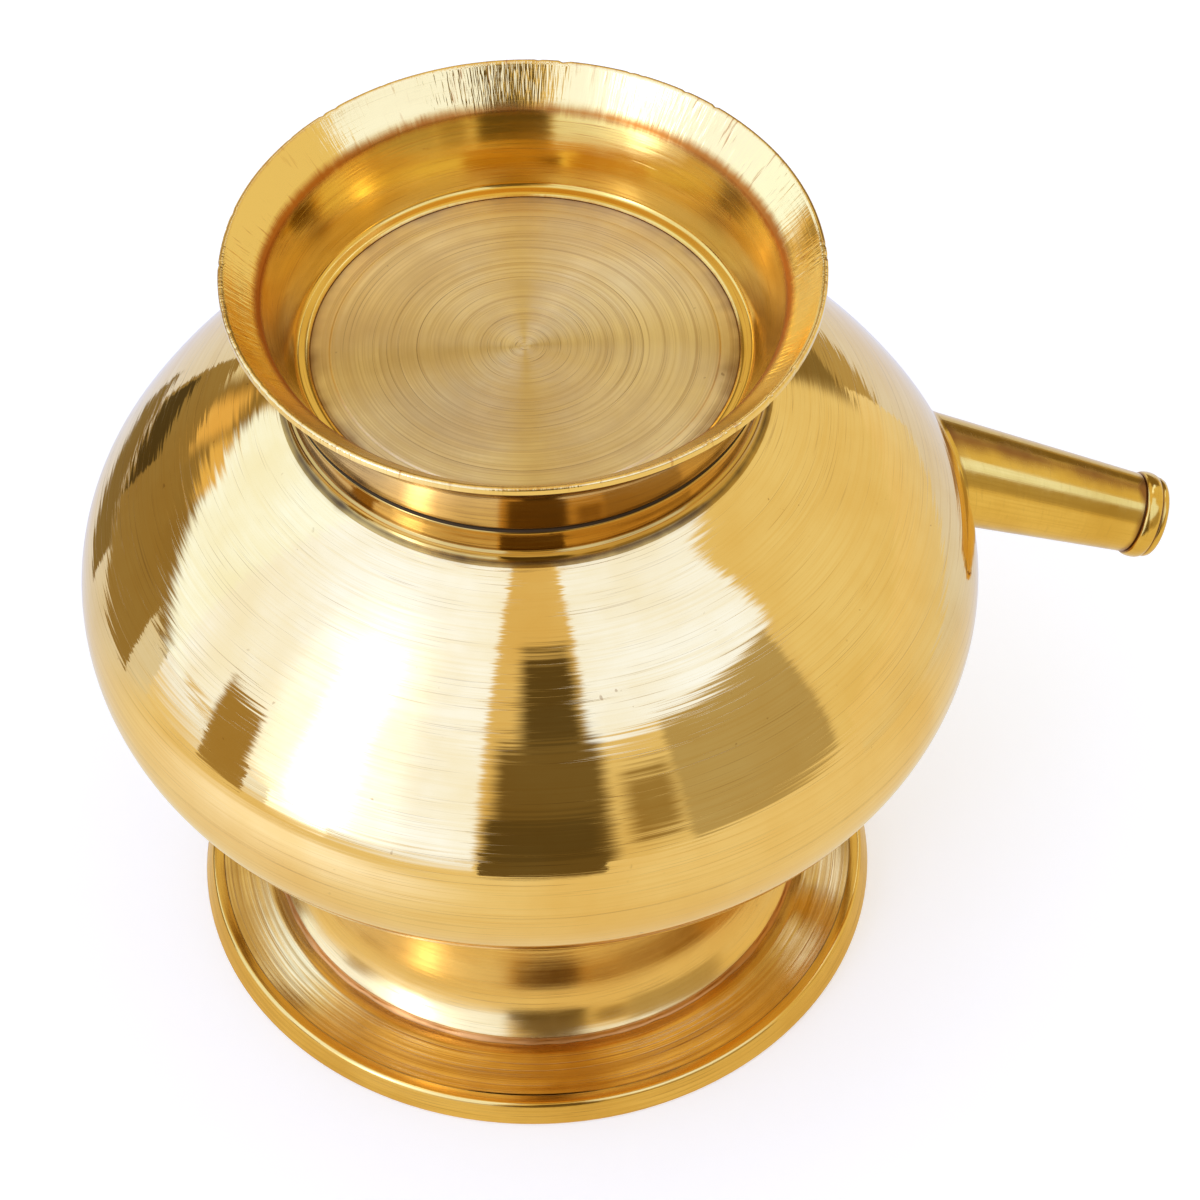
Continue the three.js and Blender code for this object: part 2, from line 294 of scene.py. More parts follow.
def brass(name, tone, deep, patina_and_shade, rough, fine, coarse, wave, groove=0.0, grain=0.4, anisotropy=0.0, jitter=0.0,
          bands=0.0, drawn=0.0, lip=0.0, ragged=0.8, broken_lines=1.0, pitch=1.25):
    """Turned brass. tone and deep are its two metal colours, patina_and_shade is the colour in creases and of
    painted shade, and rough its least and most roughness. fine, coarse, wave and groove are the depths of its
    turning lines, wide rings, hand-worked waviness and single deeper lines in micrometres, grain and bands are how
    strongly the lines and rings show in its colour, and jitter is how far single turning lines throw a reflection
    sideways. drawn is the depth of lines along the piece instead of round it. Above the height lip, in millimetres,
    it has the upright strokes of a planished edge. ragged breaks the outline of its stains and painted shade,
    broken_lines is how often a turning line breaks off on its way round, and pitch is the number of deeper lines in
    a millimetre."""
    material, s, bsdf = new_material(name)
    ring = s.node("ShaderNodeAttribute", attribute_name="ring").outputs["Vector"]
    part = s.node("ShaderNodeSeparateXYZ", {0: ring})
    c, d, v = part.outputs[0], part.outputs[1], part.outputs[2]
    dirt_and_shade = s.node("ShaderNodeAttribute", attribute_name="dirt_and_shade").outputs["Fac"]
    place = s.node("ShaderNodeTexCoord").outputs["Object"]

    def round_noise(turns, per_mm, detail, roughness):
        """Noise in lines round the piece: how often it changes on the way round and along the outline."""
        vector = s.vector(s.math("MULTIPLY", c, turns), s.math("MULTIPLY", d, turns),
                          s.math("MULTIPLY", v, per_mm))
        return s.noise(vector, 1.0, detail, roughness)

    lines = round_noise(turns=1.6 * broken_lines, per_mm=2.6, detail=3.0, roughness=0.7)
    grooves = round_noise(turns=1.3 * broken_lines, per_mm=pitch, detail=1.0, roughness=0.5)
    rings = round_noise(turns=0.7 * broken_lines, per_mm=0.7, detail=2.0, roughness=0.55)
    marks = round_noise(turns=2.6 * broken_lines, per_mm=8.0, detail=1.0, roughness=0.5)
    cloud = s.noise(place, scale=45.0, detail=4.0, rough=0.55)
    smear = s.noise(place, scale=130.0, detail=3.0, rough=0.6)

    colour = s.mix(s.range(cloud, 0.3, 0.75), tone, deep)
    colour = s.mix(s.range(rings, 0.42, 0.66, 0.0, bands), colour, deep)
    colour = s.mix(s.range(lines, 0.42, 0.70, 0.0, grain), colour, deep)
    scratch = s.range(marks, 0.64, 0.74)
    colour = s.mix(s.math("MULTIPLY", scratch, grain * 0.7), colour, patina_and_shade)
    speck = s.range(s.noise(place, scale=900.0, detail=1.0, rough=0.5), 0.73, 0.78)
    gate = s.range(smear, 0.54, 0.66)
    colour = s.mix(s.math("MULTIPLY", s.math("MULTIPLY", speck, gate), 0.5), colour, patina_and_shade)
    broken = s.math("SUBTRACT", smear, 0.5)
    height = s.math("MULTIPLY", lines, fine)
    if drawn:
        lengthways = round_noise(turns=26.0, per_mm=0.05, detail=3.0, roughness=0.6)
        height = s.math("MULTIPLY_ADD", lengthways, drawn, height)
        colour = s.mix(s.range(lengthways, 0.45, 0.7, 0.0, 0.55), colour, deep)
    if lip:
        level = s.node("ShaderNodeSeparateXYZ", {0: place}).outputs[2]
        edge = s.range(level, (lip - 0.8) * MM, (lip + 1.2) * MM)
        colour = s.mix(edge, colour, LIP_TONE)
        strokes = round_noise(turns=60.0, per_mm=0.16, detail=2.0, roughness=0.7)
        patches = s.range(s.noise(place, scale=60.0, detail=1.0, rough=0.5), 0.36, 0.62, 0.25, 1.0)
        edge = s.math("MULTIPLY", edge, patches)
        height = s.math("MULTIPLY_ADD", s.math("MULTIPLY", strokes, edge), LIP_STROKES, height)
        broken = s.math("MULTIPLY_ADD", s.math("SUBTRACT", strokes, 0.5), 1.4, broken)
        nick = s.math("MULTIPLY", s.range(strokes, 0.6, 0.72), edge)
        colour = s.mix(s.math("MULTIPLY", nick, 0.65), colour, patina_and_shade)
    # The dirt_and_shade attribute darkens the colour towards the patina: real stains, and painted shade in the gap
    # under the lid, round the collar's foot and under the belly.
    stain_and_shade = s.math("MULTIPLY_ADD", broken, ragged, dirt_and_shade)
    grime_and_shade = s.math("MULTIPLY", s.range(stain_and_shade, 0.2, 0.95), s.range(dirt_and_shade, 0.0, 0.2))
    colour = s.mix(grime_and_shade, colour, patina_and_shade)
    s.put(bsdf.inputs["Base Color"], colour)

    worn = s.math("MULTIPLY_ADD", smear, 0.5, s.math("MULTIPLY", rings, 0.5))
    roughness = s.range(worn, 0.32, 0.68, *rough)
    roughness = s.math("MULTIPLY_ADD", grime_and_shade, 0.2, roughness)
    roughness = s.math("MULTIPLY_ADD", scratch, 0.06, roughness, clamp=True)
    s.put(bsdf.inputs["Roughness"], roughness)

    height = s.math("MULTIPLY_ADD", rings, coarse, height)
    height = s.math("MULTIPLY_ADD", grooves, groove, height)
    height = s.math("MULTIPLY_ADD", s.noise(place, scale=38.0, detail=1.0, rough=0.4), wave, height)
    height = s.math("MULTIPLY_ADD", scratch, -0.5 * fine, height)
    normal = s.node("ShaderNodeBump", {"Strength": 1.0, "Distance": 1e-6, "Height": height}).outputs[0]
    tangent = s.node("ShaderNodeTangent", direction_type="RADIAL", axis="Z").outputs[0]
    if jitter:
        throw = s.math("SUBTRACT", round_noise(turns=3.0, per_mm=4.5, detail=2.0, roughness=0.6), 0.5)
        aside = s.node("ShaderNodeVectorMath", {0: tangent}, operation="SCALE")
        s.put(aside.inputs["Scale"], s.math("MULTIPLY", throw, jitter))
        moved = s.node("ShaderNodeVectorMath", {0: normal, 1: aside.outputs[0]}, operation="ADD")
        normal = s.node("ShaderNodeVectorMath", {0: moved.outputs[0]}, operation="NORMALIZE").outputs[0]
    s.put(bsdf.inputs["Normal"], normal)

    bsdf.inputs["Metallic"].default_value = 1.0
    if anisotropy:
        bsdf.inputs["Anisotropic"].default_value = anisotropy
        bsdf.inputs["Anisotropic Rotation"].default_value = 0.25
        s.put(bsdf.inputs["Tangent"], tangent)
    return material


foot_z = shoulder_height(0.1, NECK)  # the collar's foot on the shoulder
top_z = foot_z + COLLAR_HEIGHT
seat = top_z + LID_GAP  # the lid's underside
LIP = seat + 11.4  # where the planished edge begins

BROWN, RED, DARK = (0.30, 0.13, 0.03), (0.46, 0.14, 0.015), (0.10, 0.055, 0.02)

belly_brass = brass("belly_brass", (0.92, 0.68, 0.28), (0.83, 0.54, 0.16), BROWN, rough=(0.03, 0.07),
                    fine=4.0, coarse=7.0, wave=7.0, groove=26.0, grain=0.5, anisotropy=0.4, jitter=0.04, bands=0.15)
stem_brass = brass("stem_brass", (0.90, 0.62, 0.21), (0.82, 0.51, 0.14), BROWN, rough=(0.14, 0.24),
                   fine=4.0, coarse=6.0, wave=8.0, groove=18.0, grain=0.45, anisotropy=0.4, jitter=0.03, bands=0.25)
foot_brass = brass("foot_brass", (0.95, 0.70, 0.28), (0.52, 0.29, 0.06), BROWN, rough=(0.12, 0.22),
                   fine=12.0, coarse=16.0, wave=5.0, groove=42.0, grain=0.85, anisotropy=0.6, jitter=0.05, bands=0.6,
                   broken_lines=0.6)
band_brass = brass("band_brass", (0.88, 0.58, 0.15), (0.70, 0.41, 0.08), BROWN, rough=(0.1, 0.2),
                   fine=5.0, coarse=7.0, wave=5.0, groove=8.0, grain=0.7, anisotropy=0.6, jitter=0.05, bands=0.5)
neck_brass = brass("neck_brass", (0.72, 0.44, 0.10), (0.48, 0.26, 0.045), DARK, rough=(0.05, 0.12),
                   fine=4.0, coarse=8.0, wave=4.0, groove=12.0, grain=0.7, anisotropy=0.4, jitter=0.04, bands=0.4)
dish_brass = brass("dish_brass", (0.87, 0.58, 0.14), (0.73, 0.43, 0.07), RED, rough=(0.09, 0.17),
                   fine=4.0, coarse=7.0, wave=6.0, groove=9.0, grain=0.55, anisotropy=0.6, jitter=0.04, bands=0.3,
                   lip=LIP, ragged=0.3)
floor_brass = brass("floor_brass", (0.99, 0.78, 0.36), (0.70, 0.48, 0.19), BROWN, rough=(0.28, 0.36),
                    fine=10.0, coarse=7.0, wave=2.0, groove=30.0, grain=0.9, anisotropy=0.98, jitter=0.01, bands=0.2,
                    broken_lines=0.16, pitch=2.1)
spout_brass = brass("spout_brass", (0.88, 0.59, 0.14), (0.70, 0.42, 0.07), BROWN, rough=(0.1, 0.19),
                    fine=1.0, coarse=2.0, wave=7.0, grain=0.2, drawn=7.0)
braze_metal = brass("braze_metal", (0.70, 0.30, 0.07), (0.48, 0.18, 0.03), BROWN, rough=(0.26, 0.4),
                    fine=3.0, coarse=5.0, wave=16.0)
# Near-black brass for the faces of the gap under the lid: a painted shadow.
gap_shadow_brass = brass("gap_shadow_brass", (0.06, 0.034, 0.011), (0.035, 0.02, 0.007), DARK, rough=(0.4, 0.55),
                   fine=4.0, coarse=6.0, wave=8.0)
inner_brass = brass("inner_brass", (0.62, 0.42, 0.17), (0.47, 0.29, 0.10), DARK, rough=(0.3, 0.45),
                    fine=6.0, coarse=9.0, wave=10.0)


# Pot

FRONT = 270  # the front of the pot, in degrees round its axis


def near(value, target, width):
    """1 at the target, falling to 0 at that distance from it."""
    return max(0.0, 1 - abs(value - target) / width)


def lid_gap_shade(angle):
    """Painted shade in the gap under the lid, darkest at the front."""
    return 0.35 + 0.6 * near(math.degrees(angle) % 360, FRONT, 40)


def belly_seam_dirt(z):
    return 0.3 * near(z, BELLY_HEIGHT, 0.4)


def inside_belly(r, z):
    """True for the faces of the wall that look into the pot."""
    return belly_distance((r, 0, z)) < -0.3


def wander(angle, bumps, seed):
    """Smooth noise that closes on itself round the axis."""
    return noise.noise((bumps * math.cos(angle), bumps * math.sin(angle), seed))


upper = (arc(BELT_CENTRE, BELT, SEAM, BELT_TOP, 18)
         + shoulder(0, MOUTH, 40)[1:]
         + shoulder(-BELLY_SHEET, MOUTH, 24)[1:][::-1]
         + arc(BELT_CENTRE, BELT - BELLY_SHEET, BELT_TOP, LAP + SEAM, 10)
         + arc(BELT_CENTRE, BELT - UPPER_LAP, LAP + SEAM, SEAM, 3))
# Along its seam the belly is stained; the ring on the shoulder round the collar's foot is painted shade.
upper_bowl = lathe("fine_upper_bowl", "upper_bowl", "pot", upper, [belly_brass, inner_brass],
                   lambda r, z, a: belly_seam_dirt(z) + 0.45 * near(r, NECK, 0.7),
                   inside_belly, columns=256)

UNDERSIDE = 40  # below this height the lower bowl faces the foot
bottom = [BASE_CENTRE[0] * k / 6 for k in range(6)]  # radii across the flat bottom
lower = ([(r, BASE_BOTTOM) for r in bottom]
         + arc(BASE_CENTRE, BASE, -math.pi / 2, -BELT_BOTTOM, 28)
         + arc(BELT_CENTRE, BELT, -BELT_BOTTOM, 0, 18)[1:]
         + arc(BELT_CENTRE, BELT - LOWER_LAP, 0, LAP, 3)
         + arc(BELT_CENTRE, BELT - BELLY_SHEET, LAP, -BELT_BOTTOM, 12)
         + arc(BASE_CENTRE, BASE - BELLY_SHEET, -BELT_BOTTOM, -math.pi / 2, 20)[1:]
         + [(r, BASE_BOTTOM + BELLY_SHEET) for r in bottom[::-1]])
# Along its seam the belly is stained; under the belly, round the top of the pedestal, it is darkened as painted
# shade.
lower_bowl = lathe("fine_lower_bowl", "lower_bowl", "pot", lower, [belly_brass, inner_brass],
                   lambda r, z, a: belly_seam_dirt(z) + 0.6 * near(r, STEM + 0.3, 1.2) * (z < UNDERSIDE),
                   lambda r, z: inside_belly(r, z) or (r < STEM and z < UNDERSIDE), columns=256)
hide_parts("lower_bowl", "bowl_bottom_plate")

band = soften([(BAND_IN, 0, 0.2), (BAND_OUT, 0, 0.7), (46.2, BAND_TOP, 0.5), (BAND_IN, BAND_TOP, 0.1)], steps=5)
lathe("fine_foot_edge_band", "foot_edge_band", "pot", band, [band_brass, inner_brass],
      lambda r, z, a: 0.45 * near(r, BAND_IN, 0.3), lambda r, z: r < BAND_IN + 0.1 or z < 0.05)

CRACK_AT, CRACK_HALF, CRACK_WIDTH = math.radians(268), math.radians(11), 0.22


def cracked(r, z, angle):
    """At the front the flange has shrunk away from the band and left a crack."""
    turn = (angle - CRACK_AT) / CRACK_HALF
    if r > FLANGE_RIM and abs(turn) < 1:
        r -= CRACK_WIDTH * math.sqrt(1 - turn * turn)
    return r, z


flange_edge = BAND_IN - 0.02
slope = [k / 20 for k in range(1, 20)]
flange = ([(FLANGE_IN, 3.1), (FLANGE_FLAT, 3.1), (flange_edge, 1.6), (flange_edge, 3.16)]
          + [(FLANGE_RIM - (FLANGE_RIM - FLANGE_FLAT) * t, BAND_TOP + (FLANGE_TOP - BAND_TOP) * t ** 1.25)
             for t in slope]
          + [(r, FLANGE_TOP) for r in (FLANGE_FLAT, 37.6, 36.4, 35, 32.2)] + [(FLANGE_IN, 4.5)])
lathe("fine_foot_flange", "foot_flange", "pot", flange, [foot_brass, inner_brass],
      lambda r, z, a: 0.45 * near(r, BAND_IN, 0.5) + 0.75 * near(r, BRAZE_OUT + 0.2, 0.8),
      lambda r, z: r < 35 or z < 3.0 and r < FLANGE_RIM, columns=288, shape=cracked)

braze = soften([(BRAZE_IN, BRAZE_BOTTOM), (BRAZE_OUT, BRAZE_BOTTOM, 0.1), (36.86, 4.95, 0.2), (36.66, 5.35, 0.1),
                (BRAZE_IN, BRAZE_TOP)])


def flowed(r, z, angle):
    """The outer edge of the braze is uneven."""
    return r + (0.16 * wander(angle, 14, 1.5) if r > 36.8 else 0), z


lathe("fine_foot_braze_ring", "foot_braze_ring", "pot", braze, [braze_metal],
      lambda r, z, a: 0.3 + 0.35 * near(r, BRAZE_OUT, 0.25), columns=288, shape=flowed)

bend = (SPREAD ** 2 + RISE ** 2) / (2 * SPREAD)  # radius of the pedestal's flare
swing = math.asin(RISE / bend)
wall_z = STEM_FLARE + RISE  # where the flare goes over into the upright wall
stem_inside = STEM - STEM_SHEET
bell = arc((STEM + bend, wall_z), bend, math.pi + swing, math.pi, 20)
stem = ([(36.62, STEM_BOTTOM)] + bell + [(STEM, wall_z + 3 * k) for k in range(1, 7)]
        + [(STEM, base_height(STEM) - 0.05), (stem_inside, base_height(stem_inside) - 0.1), (stem_inside, wall_z)]
        + [(r - STEM_SHEET, z) for r, z in bell[::-1]][1:] + [(35.2, STEM_BOTTOM)])


def inside_stem(r, z):
    """True for the inner wall and the bottom edge of the pedestal."""
    return r < STEM - 0.3 or z < 5.0 or any(abs(z - q[1]) < 0.35 and r < q[0] - 0.8 for q in bell)


# The pedestal is stained at its foot by the braze, and darkened at its top under the belly as painted shade.
lathe("fine_pedestal_stem", "pedestal_stem", "pot", stem, [stem_brass, inner_brass],
      lambda r, z, a: 0.6 * near(z, BRAZE_TOP, 0.8) + 0.6 * near(z, base_height(STEM), 1.0), inside_stem)

cove = [(NECK + (NECK - COLLAR) * math.cos(a), foot_z + COLLAR_FLARE + COLLAR_FLARE * math.sin(a))
        for a in (math.radians(270 - 9 * k) for k in range(11))]
collar = ([(NECK - k * 0.55, shoulder_height(0.06, NECK - k * 0.55)) for k in range(4, 0, -1)]
          + [(NECK, foot_z - 0.05)] + cove[1:]
          + soften([(COLLAR, foot_z + COLLAR_FLARE + 0.02), (30.55, foot_z + COLLAR_GROOVE, 0.1),
                    (30.62, foot_z + 1.8, 0.1), (30.7, foot_z + 3.2, 0.6), (COLLAR, top_z - 0.4, 0.15),
                    (30.5, top_z, 0.1), (MOUTH, top_z, 0.3), (MOUTH, top_z - 2.5)], closed=False)[1:])


def collar_dirt_and_shade(r, z, angle):
    # Painted shade round the collar's foot where it meets the shoulder, patina in the groove, and painted shade in
    # the gap under the lid.
    foot_shade = 0.85 * near(z, foot_z + 0.2, 0.55) * (r > 30)
    in_groove = 0.5 * near(z, foot_z + COLLAR_GROOVE, 0.25)
    return foot_shade + in_groove + lid_gap_shade(angle) * near(z, top_z, 0.6)


def collar_material(r, z):
    """0 outside, 1 in the mouth, 2 at the painted shadow of the gap under the lid."""
    if r < MOUTH + 0.1:
        return 1
    return 2 if z > top_z - 0.3 else 0


lathe("fine_neck_collar", "neck_collar", "pot", collar, [neck_brass, inner_brass, gap_shadow_brass],
      collar_dirt_and_shade, collar_material)


# Lid

def from_seat(*points):
    """Points of the lid's outlines, with their heights given above its seat."""
    return [(r, seat + z, *rounding) for r, z, *rounding in points]


dish_in = spline(from_seat((29.3, 1.7), (31.05, 6.25), (33.4, DISH_CREASE)), 10)
lip_in = spline(from_seat((33.4, DISH_CREASE), (34.35, 12.1), (36.1, 13.8), (37.9, DISH_TOP)), 6)[1:-1]
dish_out = spline(from_seat((30.9, 0.35), (32.75, 6.25), (34.8, 10.7), (38.4, 14.7)), 10)
lip_edge = from_seat((38.4, 14.7), (38.4, 15.5, 0.35), (38.0, DISH_TOP, 0.3), (37.6, 15.4))
floor_edge = from_seat((29.3, 1.7), (29.0, 1.4, 0.5), (28.0, 1.38, 0.4), (DISH_HOLE, 1.1))
dish = (from_seat((DISH_HOLE, 0), (30.45, 0)) + dish_out + soften(lip_edge, closed=False)[1:]
        + lip_in[::-1] + dish_in[::-1] + soften(floor_edge, closed=False)[1:])


def nicked(r, z, angle):
    """Small nicks and a slightly uneven edge along the lip."""
    share = max(0.0, min(1.0, (z - seat - 14.2) / 1.2))
    if share == 0:
        return r, z
    uneven = abs(wander(angle, 3, 4.0))
    nick = max(0.0, wander(angle, 34, 9.0) - 0.38)
    return r - share * (0.06 * uneven + 0.7 * nick), z - share * (0.1 * uneven + 0.5 * nick)


def dish_dirt_and_shade(r, z, angle):
    # Patina in the crease, the corner and the groove round the disc, wear on the lip's edge, and painted shade in
    # the gap under the lid.
    crease = (0.7 + 0.35 * abs(math.cos(angle))) * near(z, seat + 11.2, 1.4) * (r < 34.4)
    corner = 0.3 * near(z, seat + 1.9, 0.7) * (r < 30)
    round_disc = 0.75 * near(r, 27.6, 0.3)
    edge = 0.45 * near(z, seat + 15.6, 0.3)
    return crease + corner + round_disc + lid_gap_shade(angle) * near(z, seat, 0.45) + edge


def dish_material(r, z):
    """0 inside the dish and on its lip, 1 on its underside, 2 on its outside, 3 at the painted shadow of the gap
    under the lid.
    """
    if z < seat + 0.25:
        return 3 if r > 30.4 else 1
    return 2 if r > 30 + 0.4 * (z - seat) and z < seat + 11 else 0


lathe("fine_lid_dish", "lid_dish", "lid", dish, [dish_brass, inner_brass, neck_brass, gap_shadow_brass],
      dish_dirt_and_shade, dish_material, columns=448, shape=nicked)

disc_edge = from_seat((DISC_EDGE, 0), (27.54, 0.2, 0.1), (27.54, 1.05, 0.2), (25.05, 1.05, 0.2),
                      (24.9, DISC_TOP, 0.2), (DISC_FACE, DISC_TOP))
disc = (from_seat((0, 0), (9, 0), (18, 0), (DISC_EDGE, 0)) + soften(disc_edge, closed=False, steps=3)[1:]
        + from_seat(*((DISC_FACE - k * 0.5, DISC_TOP) for k in range(1, 49))))
lathe("fine_lid_floor_disc", "lid_floor_disc", "lid", disc, [floor_brass, inner_brass],
      lambda r, z, a: 0.8 * near(r, 27.5, 0.45) + 0.3 * near(r, 25, 0.3), lambda r, z: z < seat + 0.05)

spigot_top = seat - LID_GAP
spigot_end = spigot_top - SPIGOT_DEPTH
spigot = soften([(SPIGOT_IN, spigot_end, 0.3), (SPIGOT_OUT, spigot_end, 0.7), (SPIGOT_OUT, spigot_top),
                 (SPIGOT_IN, spigot_top)])
lathe("fine_lid_spigot", "lid_spigot", "lid", spigot, [neck_brass],
      lambda r, z, a: 0.7 * near(z, spigot_top, 1.0))

# Spout

lift, side, heading, fall = (math.radians(a) for a in (-7, 17.2, 0.35, 20.5))
root_radius = BELT_CENTRE[0] + BELT * math.cos(lift)
root = Vector((root_radius * math.cos(side), root_radius * math.sin(side), BELT_CENTRE[1] + BELT * math.sin(lift)))
axis = Vector((math.cos(heading), math.sin(heading), -math.tan(fall))).normalized()
across = axis.cross(Vector((0, 0, 1))).normalized()
upright = across.cross(axis)
TAPER = (SPOUT_ROOT - SPOUT_TIP) / BEAD_START
ROUND = 96


def on_spout(along, radius, k):
    angle = 2 * math.pi * k / ROUND
    return root + axis * along + (across * math.cos(angle) + upright * math.sin(angle)) * radius


def spout_radius(along):
    return SPOUT_ROOT - TAPER * along


def meets_belly(k, grow):
    """Where a line along the tube, grown by a distance, crosses the wall."""
    a, b = -14.0, 20.0
    for _ in range(40):
        m = (a + b) / 2
        if belly_distance(on_spout(m, spout_radius(m) + grow, k)) > 0:
            b = m
        else:
            a = m
    return a


def square_row(along, radius):
    """A row of points square to the spout's axis."""
    return along, [tuple(on_spout(along, radius, k)) for k in range(ROUND)]


def slanted_row(starts, ends, t, sheet):
    """A row part of the way between two uneven ones, on the tube's outside or a sheet's thickness inside it."""
    alongs = [a + (b - a) * t for a, b in zip(starts, ends)]
    return sum(alongs) / ROUND, [tuple(on_spout(x, spout_radius(x) - sheet, k)) for k, x in enumerate(alongs)]


outer_root = [meets_belly(k, 0) for k in range(ROUND)]
inner_root = [meets_belly(k, -SPOUT_SHEET) - 1.2 for k in range(ROUND)]
end_radius = BEAD_RADIUS - BEAD_HEIGHT - 0.05
bore_end = spout_radius(SPOUT_LENGTH) - SPOUT_SHEET
MOUTH_ROUNDING = 0.45
mouth_start = SPOUT_LENGTH - MOUTH_ROUNDING

tube, tube_dirt = [], []
for i in range(25):
    t = i / 24
    tube.append(slanted_row(outer_root, [BEAD_START - 0.15] * ROUND, t, 0))
    tube_dirt.append(0.8 * near(tube[-1][0], BEAD_START, 0.9) + 0.5 * near(t, 0, 0.06))
valley = BEAD_START + BEAD_WIDTH + 0.08  # the narrow valley between the bead and the tube's end
for along, radius, dirt_and_shade in ((BEAD_START, SPOUT_TIP - 0.18, 1.0), (BEAD_START, end_radius, 1.0),
                            (valley, end_radius - 0.15, 1.0), (valley + 0.12, end_radius + 0.1, 0.9),
                            (valley + 0.3, end_radius + 0.18, 0.4), (valley + 0.6, end_radius + 0.2, 0.1)):
    tube.append(square_row(along, radius))
    tube_dirt.append(dirt_and_shade)
for i in range(7):
    angle = math.pi * i / 7
    tube.append(square_row(mouth_start + MOUTH_ROUNDING * math.sin(angle),
                           bore_end + (end_radius - bore_end + 0.12) / 2 * (1 + math.cos(angle))))
    tube_dirt.append(0.0)
first_bore_row = len(tube)
for i in range(13):
    tube.append(slanted_row([mouth_start] * ROUND, inner_root, i / 12, SPOUT_SHEET))
    tube_dirt.append(0.3)


def darker_top(i, angle):
    """The top of the tube is darker, and its underside a little."""
    if i >= first_bore_row or tube[i][0] > BEAD_START:
        return tube_dirt[i]
    return tube_dirt[i] + 0.85 * near(math.degrees(angle), 84, 28) + 0.4 * near(math.degrees(angle), 325, 40)


make_piece("fine_spout_tube", "spout_tube", "pot", tube, False, darker_top,
           lambda i: i >= first_bore_row, [spout_brass, inner_brass])

bead, bead_dirt = [], []
for i in range(17):
    angle = -math.pi / 2 + math.pi * i / 16
    along = BEAD_START + 0.12 + BEAD_WIDTH / 2 + BEAD_WIDTH / 2 * math.sin(angle)
    bulge = BEAD_HEIGHT * math.cos(angle) ** 0.7 if 0 < i < 16 else 0
    bead.append(square_row(along, BEAD_RADIUS - BEAD_HEIGHT + bulge))
    bead_dirt.append(0.9 * abs(math.sin(angle)) ** 6)
make_piece("fine_spout_bead", "spout_bead", "pot", bead, True, lambda i, a: bead_dirt[i],
           lambda i: 0, [spout_brass])

SADDLE_REACH, SADDLE_SPREAD, SADDLE_LENGTH = 0.9, 0.5, 2.4  # along the tube, out over the belly, over its curve
saddle, saddle_dirt = [], []
for i in range(11):
    t = i / 10
    points = []
    for k in range(ROUND):
        top = outer_root[k] + SADDLE_REACH
        a = on_spout(top, spout_radius(top) + 0.02, k)
        corner = on_spout(outer_root[k], spout_radius(outer_root[k]), k)
        out = meets_belly(k, SADDLE_SPREAD)
        b = on_spout(out, spout_radius(out) + SADDLE_SPREAD, k)
        points.append(tuple(a * (1 - t) ** 2 + corner * 2 * t * (1 - t) + b * t * t))
    saddle.append((SADDLE_LENGTH * t, points))
    saddle_dirt.append(0.15 + 0.3 * abs(2 * t - 1))
make_piece("fine_spout_saddle", "spout_saddle", "pot", saddle, False, lambda i, a: saddle_dirt[i],
           lambda i: 0, [spout_brass])


def drill(obj):
    """The hole through the belly's wall under the spout."""
    points, faces = [], []
    for along in (-16, 4):
        points += [on_spout(along, spout_radius(0) - SPOUT_SHEET, k) * MM for k in range(ROUND)]
    for k in range(ROUND):
        n = (k + 1) % ROUND
        faces.append((k, n, ROUND + n, ROUND + k))
    faces += [tuple(range(ROUND))[::-1], tuple(range(ROUND, 2 * ROUND))]
    mesh = bpy.data.meshes.new("drill")
    mesh.from_pydata(points, [], faces)
    bit = bpy.data.objects.new("drill", mesh)
    bpy.context.scene.collection.objects.link(bit)
    bit.matrix_world = obj.matrix_world
    cut = obj.modifiers.new("bore", "BOOLEAN")
    cut.object, cut.operation, cut.solver = bit, "DIFFERENCE", "EXACT"
    bpy.context.view_layer.update()
    solid = obj.evaluated_get(bpy.context.evaluated_depsgraph_get())
    drilled = bpy.data.meshes.new_from_object(solid)
    obj.modifiers.remove(cut)
    obj.data = drilled
    bpy.data.objects.remove(bit)


drill(upper_bowl)
drill(lower_bowl)

# Stage, in metres

FLOOR_HALF = 4
floor_mesh = bpy.data.meshes.new("floor")
floor_mesh.from_pydata([(x * FLOOR_HALF, y * FLOOR_HALF, 0) for x, y in ((-1, -1), (1, -1), (1, 1), (-1, 1))],
                       [], [(0, 1, 2, 3)])
floor = bpy.data.objects.new("floor", floor_mesh)
bpy.context.scene.collection.objects.link(floor)

# The camera sees a white floor with the pot's shadow. The metal mirrors a darker one, warm in front of the pot,
# cool behind it and bright in a pool of light at the left: for glossy rays these are a painted reflection and a
# painted pool of light in the floor's colour and glow.
FLOOR_WHITE, CAMERA_GLOW, BLACK = (0.82, 0.82, 0.82), (0.33, 0.33, 0.33), (0.0, 0.0, 0.0)
FRONT_BASE, REAR_BASE = (0.35, 0.33, 0.27), (0.35, 0.34, 0.33)
FRONT_GLOW, REAR_GLOW, POOL_GLOW = (0.58, 0.51, 0.34), (0.48, 0.53, 0.72), (0.88, 1.02, 1.65)
POOL_AT = (AXIS_X - 0.17, -0.14, 0)
floor_material, f, floor_bsdf = new_material("floor_white")
floor_rays = f.node("ShaderNodeLightPath")
floor_place = f.node("ShaderNodeNewGeometry").outputs["Position"]
behind = f.range(f.node("ShaderNodeSeparateXYZ", {0: floor_place}).outputs[1], -0.02, 0.07)
pool = f.node("ShaderNodeVectorMath", {0: floor_place, 1: POOL_AT}, operation="DISTANCE")
mirrored = f.mix(behind, FRONT_BASE, REAR_BASE)
f.put(floor_bsdf.inputs["Base Color"], f.mix(floor_rays.outputs["Is Glossy Ray"], FLOOR_WHITE, mirrored))
floor_bsdf.inputs["Roughness"].default_value = 0.9
